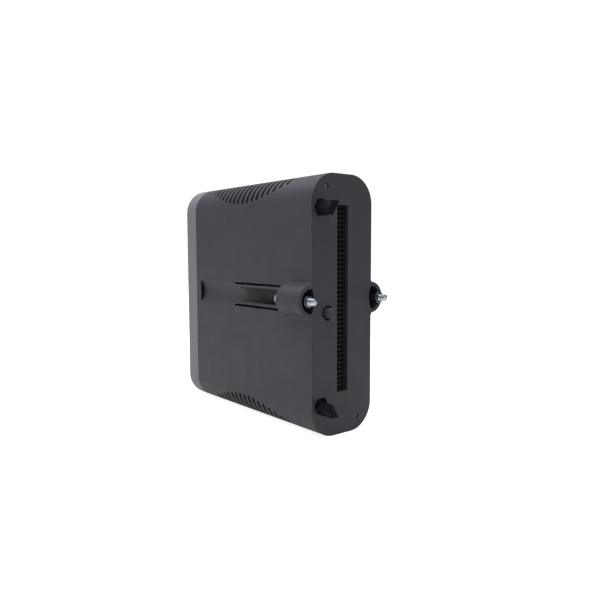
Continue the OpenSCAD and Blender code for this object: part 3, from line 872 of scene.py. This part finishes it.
MATS = {
    # the housing plastic carries painted shade in its tool pockets
    "housing_plastic": plastic("housing_plastic_mat", (0.0206, 0.0202, 0.0272), 0.56, 0.34, paint_pocket_shade=True),
    "cover_plastic": plastic("cover_plastic_mat", (0.113, 0.108, 0.120), 0.55, 0.36),
    "seal_rubber": rubber("seal_rubber_mat", (0.012, 0.012, 0.013)),
    "lens_plastic": lens("lens_plastic_mat"),
    "black_plastic": plastic("black_plastic_mat", (0.0058, 0.0054, 0.0036), 0.5, 0.15, 0.8, 0.15),
    "contact_gold": metal("contact_gold_mat", (0.86, 0.62, 0.26), 0.24),
    "board_laminate": laminate("board_laminate_mat"),
    "plated_brass": metal("plated_brass_mat", (0.72, 0.70, 0.64), 0.3),
    "screw_steel": metal("screw_steel_mat", (0.40, 0.415, 0.45), 0.24, (1, 6, 6), 0.06, 0.14),
    "black_steel": metal("black_steel_mat", (0.085, 0.09, 0.11), 0.4, (1, 4, 4), 0.15, 0.2),
    "washer_steel": metal("washer_steel_mat", (0.68, 0.69, 0.72), 0.32),
    "spring_steel": metal("spring_steel_mat", (0.58, 0.59, 0.62), 0.3),
    "block_aluminium": metal("block_aluminium_mat", (0.78, 0.78, 0.77), 0.38, (1, 8, 1)),
    "tinned_steel": metal("tinned_steel_mat", (0.74, 0.75, 0.76), 0.34, (1, 1, 4)),
    "chip_plastic": chip("chip_plastic_mat"),
    "heat_sink_aluminium": metal("heat_sink_aluminium_mat", (0.72, 0.73, 0.75), 0.42, (1, 1, 10)),
    "ferrite": plastic("ferrite_mat", (0.035, 0.033, 0.032), 0.62, 0.35, 0.6, 0.2),
    "capacitor_sleeve": plastic("capacitor_sleeve_mat", (0.02, 0.04, 0.12), 0.3, 0.5, 0.5, 0.1, 0.1),
    "key_plastic": plastic("key_plastic_mat", (0.0034, 0.0036, 0.0056), 0.45, 0.05),
}
SLOT = {s["node"]: s["material_slot"] for s in frame["record"]["subparts"]}

for name, ob in frame["nodes"].items():
    ob.data.materials.clear()
    ob.data.materials.append(MATS[SLOT[name]])


def put(ob, body, *nodes):
    ob.data.materials.clear()
    ob.data.materials.append(MATS[SLOT[nodes[0]]])
    for p in ob.data.polygons:
        p.material_index = 0
    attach(ob, body)
    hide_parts(*nodes)
    return ob


o = build_housing(); shade(o, 32, True); put(o, "case", "housing")
o = build_cover(); shade(o, 32, True); put(o, "case", "front_cover")
o = build_connector(); shade(o, 30, True); put(o, "case", "connector_body")
LEFT_BACK = 3.2
put(build_screw("left_captive_screw_turned", -1, LEFT_BACK), "left_screw", "left_captive_screw")
put(build_clip("left_ring_clip", -1, LEFT_BACK), "left_screw", "left_screw_ring")
put(build_clip("right_ring_clip", 1, 0.0), "right_screw", "right_screw_ring")
put(build_screw("right_captive_screw_turned", 1, 0.0), "right_screw", "right_captive_screw")
put(build_washer("left_washer_turned", -1, LEFT_BACK), "left_washer", "left_screw_washer")
put(build_washer("right_washer_turned", 1, 0.0), "right_washer", "right_screw_washer")
put(build_key("upper_key_post", KEY_Z[0], -30), "upper_key", "upper_coding_key")
put(build_key("lower_key_post", KEY_Z[1], 30), "lower_key", "lower_coding_key")
put(build_plunger(), "plunger", "plunger")
o = build_spring(); put(o, "case", "plunger_spring")
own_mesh(o)
o = build_face_screws()
put(o, "case", "end_face_screws")
o.data.materials[0] = metal("worn_black_steel_mat", (0.22, 0.22, 0.235), 0.42, (1, 4, 4), 0.15, 0.2)
put(build_lenses(), "case", "indicator_lenses")

# ------------------------------------------------------------------ floor, light, camera
me = bpy.data.meshes.new("floor")
S = 14.0
fz = Z0 * MM
me.from_pydata([(-S, -S, fz), (S, -S, fz), (S, S, fz), (-S, S, fz)], [], [(0, 1, 2, 3)])
floor = bpy.data.objects.new("floor", me)
scene.collection.objects.link(floor)
fm = Mat("floor_mat")
fn = fm.noise(6, 3.0)
fm.set(color=fm.mix(fn, (0.56, 0.56, 0.56), (0.59, 0.59, 0.59)), rough=0.95, spec=0.05)
fm.b.inputs["Emission Color"].default_value = (1, 1, 1, 1)
flp = fm.nt.nodes.new("ShaderNodeLightPath")
fm.link(fm.ramp(flp.outputs["Is Camera Ray"], 0.36, 0.86), fm.b.inputs["Emission Strength"])
me.materials.append(fm.m)

world = bpy.data.worlds.new("studio")
scene.world = world
world.use_nodes = True
wn = world.node_tree
wn.nodes.clear()
wo = wn.nodes.new("ShaderNodeOutputWorld")
mixs = wn.nodes.new("ShaderNodeMixShader")
wlp = wn.nodes.new("ShaderNodeLightPath")
b1 = wn.nodes.new("ShaderNodeBackground")
b2 = wn.nodes.new("ShaderNodeBackground")
b1.inputs["Color"].default_value = (0.97, 0.98, 1.0, 1)
b1.inputs["Strength"].default_value = 0.30
b2.inputs["Color"].default_value = (1, 1, 1, 1)
b2.inputs["Strength"].default_value = 1.1
wn.links.new(wlp.outputs["Is Camera Ray"], mixs.inputs["Fac"])
wn.links.new(b1.outputs[0], mixs.inputs[1])
wn.links.new(b2.outputs[0], mixs.inputs[2])
wn.links.new(mixs.outputs[0], wo.inputs["Surface"])


def area(name, loc, target, size, power, color=(1, 1, 1), size_y=None):
    l = bpy.data.lights.new(name, "AREA")
    l.energy = power
    l.color = color
    l.size = size
    if size_y:
        l.shape = "RECTANGLE"
        l.size_y = size_y
    ob = bpy.data.objects.new(name, l)
    scene.collection.objects.link(ob)
    ob.location = loc
    ob.rotation_euler = (Vector(target) - Vector(loc)).to_track_quat("-Z", "Y").to_euler()
    return ob


area("overhead", (-0.1, -0.1, 0.95), (-0.06, 0, 0), 1.3, 25.5)
area("left_key", (-0.55, -1.0, 0.55), (-0.06, 0, 0), 0.9, 3.4)
area("front_fill", (1.1, 0.35, 0.35), (-0.06, 0, 0), 0.8, 1.7)

cam_d = bpy.data.cameras.new("camera")
cam = bpy.data.objects.new("camera", cam_d)
scene.collection.objects.link(cam)
rt = Vector((0.62955633, 0.77695023, -0.0026753))
up = Vector((-0.06281391, 0.05432903, 0.99654542))
bk = Vector((0.77441154, -0.62721343, 0.08300647))
cam.rotation_mode = "QUATERNION"
cam.rotation_quaternion = Matrix((rt, up, bk)).transposed().to_quaternion()
cam.location = (0.237636, -0.222852, 0.026728)
cam_d.lens = 35.476
cam_d.sensor_width = 36.0
cam_d.clip_start = 0.01
cam_d.clip_end = 100
scene.camera = cam
scene.view_settings.view_transform = "Standard"
